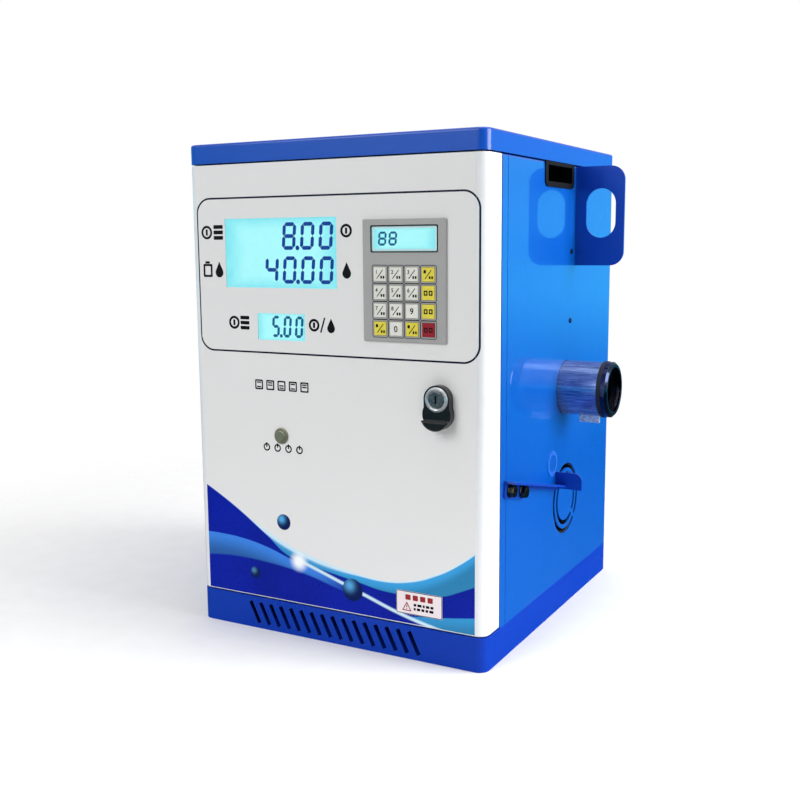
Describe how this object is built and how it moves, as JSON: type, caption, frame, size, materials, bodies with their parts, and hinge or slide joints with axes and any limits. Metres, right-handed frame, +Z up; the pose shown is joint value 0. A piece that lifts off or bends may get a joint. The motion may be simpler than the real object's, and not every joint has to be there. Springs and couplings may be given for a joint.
{
  "type": "gas pump",
  "caption": "Small cabinet fuel dispenser with a hinged display door, keypad, lock, hose outlet tube, nozzle hook plate, and a pump, meter and fan inside.",
  "frame": {"origin": "middle of the cabinet's base on the ground", "axes": "+X to the right seen from the front, -Y towards the front, +Z up"},
  "size_m": [0.4453, 0.4535, 0.564],
  "materials": {
    "blue_base": "gloss powder coat",
    "blue_body": "gloss powder coat",
    "blue_cover": "gloss powder coat",
    "white_door": "gloss powder coat",
    "printed_film": "printed, semi gloss",
    "hinge_steel": "satin",
    "screw_steel": "satin",
    "clear_lens": "clear",
    "lcd_face": "backlit display",
    "label_print": "printed",
    "pad_grey": "satin",
    "board_green": "solder mask",
    "button_ring": "satin",
    "button_cap": "satin",
    "lock_black": "semi gloss",
    "lock_chrome": "polished",
    "lock_core": "polished",
    "cam_steel": "zinc plated",
    "grip_black": "matte",
    "blue_fittings": "gloss powder coat",
    "bolt_brass": "passivated",
    "tube_metal": "metallic",
    "seal_rubber": "matte",
    "ring_chrome": "polished",
    "lug_zinc": "satin",
    "fan_black": "matte",
    "fan_blades": "matte",
    "motor_paint": "satin",
    "pump_iron": "as cast",
    "rotor_steel": "ground",
    "strainer_alloy": "cast",
    "pipe_steel": "satin",
    "meter_alloy": "cast",
    "gear_steel": "machined",
    "supply_case": "satin",
    "gland_black": "matte",
    "key_white": "semi gloss",
    "key_yellow": "semi gloss",
    "key_red": "semi gloss"
  },
  "bodies": {
    "enclosure": {"base_tray": "blue_base", "body_shell": "blue_body", "side_panels": "blue_body", "top_cover": "blue_cover", "hinge_body_leaves": "hinge_steel", "panel_screws": "screw_steel", "carry_grips": "grip_black", "nozzle_hook_plate": "blue_fittings", "rest_bracket": "blue_fittings", "rest_bolts": "bolt_brass", "outlet_tube": "tube_metal", "outlet_seal": "seal_rubber", "outlet_ring": "ring_chrome", "earth_lug": "lug_zinc", "fan_frame": "fan_black", "pump_motor": "motor_paint", "pump_body": "pump_iron", "strainer": "strainer_alloy", "delivery_pipe": "pipe_steel", "meter_body": "meter_alloy", "meter_cover": "meter_alloy", "power_supply": "supply_case", "control_board": "board_green", "cable_gland": "gland_black"},
    "door": {"door_panel": "white_door", "front_film": "printed_film", "hinge_door_leaves": "hinge_steel", "display_lenses": "clear_lens", "main_display": "lcd_face", "price_display": "lcd_face", "info_label": "label_print", "keypad_bezel": "pad_grey", "keypad_board": "board_green", "keypad_lcd": "lcd_face", "power_button_body": "button_ring"},
    "latch": {"lock_handle": "lock_black", "lock_cylinder": "lock_chrome", "lock_cam": "cam_steel"},
    "key_plug": {"lock_plug": "lock_core"},
    "start_button": {"power_button": "button_cap"},
    "fan": {"fan_rotor": "fan_blades"},
    "pump_shaft": {"pump_rotor": "rotor_steel"},
    "gear_a": {"meter_gear_a": "gear_steel"},
    "gear_b": {"meter_gear_b": "gear_steel"},
    "key_r1c1": {"key_r1c1": "key_white"},
    "key_r1c2": {"key_r1c2": "key_white"},
    "key_r1c3": {"key_r1c3": "key_white"},
    "key_r1c4": {"key_r1c4": "key_yellow"},
    "key_r2c1": {"key_r2c1": "key_white"},
    "key_r2c2": {"key_r2c2": "key_white"},
    "key_r2c3": {"key_r2c3": "key_white"},
    "key_r2c4": {"key_r2c4": "key_yellow"},
    "key_r3c1": {"key_r3c1": "key_white"},
    "key_r3c2": {"key_r3c2": "key_white"},
    "key_r3c3": {"key_r3c3": "key_white"},
    "key_r3c4": {"key_r3c4": "key_yellow"},
    "key_r4c1": {"key_r4c1": "key_yellow"},
    "key_r4c2": {"key_r4c2": "key_white"},
    "key_r4c3": {"key_r4c3": "key_yellow"},
    "key_r4c4": {"key_r4c4": "key_red"}
  },
  "joints": [
    {"name": "door_hinge", "type": "hinge", "parent": "enclosure", "child": "door", "pos_m": [-0.1925, -0.16525, 0.29], "axis": [0, 0, -1], "range_deg": [0, 110]},
    {"name": "latch_turn", "type": "hinge", "parent": "door", "child": "latch", "pos_m": [0.136, -0.2, 0.2915], "axis": [0, -1, 0], "range_deg": [0, 90]},
    {"name": "key_turn", "type": "hinge", "parent": "latch", "child": "key_plug", "pos_m": [0.136, -0.2, 0.2915], "axis": [0, -1, 0], "range_deg": [0, 90]},
    {"name": "button_press", "type": "slide", "parent": "door", "child": "start_button", "axis": [0, 1, 0], "range_m": [0, 0.002], "stiffness_N_per_m": 1200, "springref_m": -0.001},
    {"name": "fan_spin", "type": "hinge", "parent": "enclosure", "child": "fan", "pos_m": [0.1735, 0.0405, 0.1375], "axis": [1, 0, 0], "continuous": true},
    {"name": "pump_spin", "type": "hinge", "parent": "enclosure", "child": "pump_shaft", "pos_m": [0.09, 0.062, 0.084], "axis": [1, 0, 0], "continuous": true},
    {"name": "gear_a_spin", "type": "hinge", "parent": "enclosure", "child": "gear_a", "pos_m": [0.11, 0.01835, 0.277], "axis": [1, 0, 0], "continuous": true},
    {"name": "gear_b_spin", "type": "hinge", "parent": "enclosure", "child": "gear_b", "pos_m": [0.11, 0.05365, 0.277], "axis": [1, 0, 0], "continuous": true},
    {"name": "press_r1c1", "type": "slide", "parent": "door", "child": "key_r1c1", "axis": [0, 1, 0], "range_m": [0, 0.0012], "stiffness_N_per_m": 800, "springref_m": -0.0006},
    {"name": "press_r1c2", "type": "slide", "parent": "door", "child": "key_r1c2", "axis": [0, 1, 0], "range_m": [0, 0.0012], "stiffness_N_per_m": 800, "springref_m": -0.0006},
    {"name": "press_r1c3", "type": "slide", "parent": "door", "child": "key_r1c3", "axis": [0, 1, 0], "range_m": [0, 0.0012], "stiffness_N_per_m": 800, "springref_m": -0.0006},
    {"name": "press_r1c4", "type": "slide", "parent": "door", "child": "key_r1c4", "axis": [0, 1, 0], "range_m": [0, 0.0012], "stiffness_N_per_m": 800, "springref_m": -0.0006},
    {"name": "press_r2c1", "type": "slide", "parent": "door", "child": "key_r2c1", "axis": [0, 1, 0], "range_m": [0, 0.0012], "stiffness_N_per_m": 800, "springref_m": -0.0006},
    {"name": "press_r2c2", "type": "slide", "parent": "door", "child": "key_r2c2", "axis": [0, 1, 0], "range_m": [0, 0.0012], "stiffness_N_per_m": 800, "springref_m": -0.0006},
    {"name": "press_r2c3", "type": "slide", "parent": "door", "child": "key_r2c3", "axis": [0, 1, 0], "range_m": [0, 0.0012], "stiffness_N_per_m": 800, "springref_m": -0.0006},
    {"name": "press_r2c4", "type": "slide", "parent": "door", "child": "key_r2c4", "axis": [0, 1, 0], "range_m": [0, 0.0012], "stiffness_N_per_m": 800, "springref_m": -0.0006},
    {"name": "press_r3c1", "type": "slide", "parent": "door", "child": "key_r3c1", "axis": [0, 1, 0], "range_m": [0, 0.0012], "stiffness_N_per_m": 800, "springref_m": -0.0006},
    {"name": "press_r3c2", "type": "slide", "parent": "door", "child": "key_r3c2", "axis": [0, 1, 0], "range_m": [0, 0.0012], "stiffness_N_per_m": 800, "springref_m": -0.0006},
    {"name": "press_r3c3", "type": "slide", "parent": "door", "child": "key_r3c3", "axis": [0, 1, 0], "range_m": [0, 0.0012], "stiffness_N_per_m": 800, "springref_m": -0.0006},
    {"name": "press_r3c4", "type": "slide", "parent": "door", "child": "key_r3c4", "axis": [0, 1, 0], "range_m": [0, 0.0012], "stiffness_N_per_m": 800, "springref_m": -0.0006},
    {"name": "press_r4c1", "type": "slide", "parent": "door", "child": "key_r4c1", "axis": [0, 1, 0], "range_m": [0, 0.0012], "stiffness_N_per_m": 800, "springref_m": -0.0006},
    {"name": "press_r4c2", "type": "slide", "parent": "door", "child": "key_r4c2", "axis": [0, 1, 0], "range_m": [0, 0.0012], "stiffness_N_per_m": 800, "springref_m": -0.0006},
    {"name": "press_r4c3", "type": "slide", "parent": "door", "child": "key_r4c3", "axis": [0, 1, 0], "range_m": [0, 0.0012], "stiffness_N_per_m": 800, "springref_m": -0.0006},
    {"name": "press_r4c4", "type": "slide", "parent": "door", "child": "key_r4c4", "axis": [0, 1, 0], "range_m": [0, 0.0012], "stiffness_N_per_m": 800, "springref_m": -0.0006}
  ],
  "couplings": [
    {"joint": "gear_b_spin", "follows": "gear_a_spin", "ratio": -1}
  ]
}
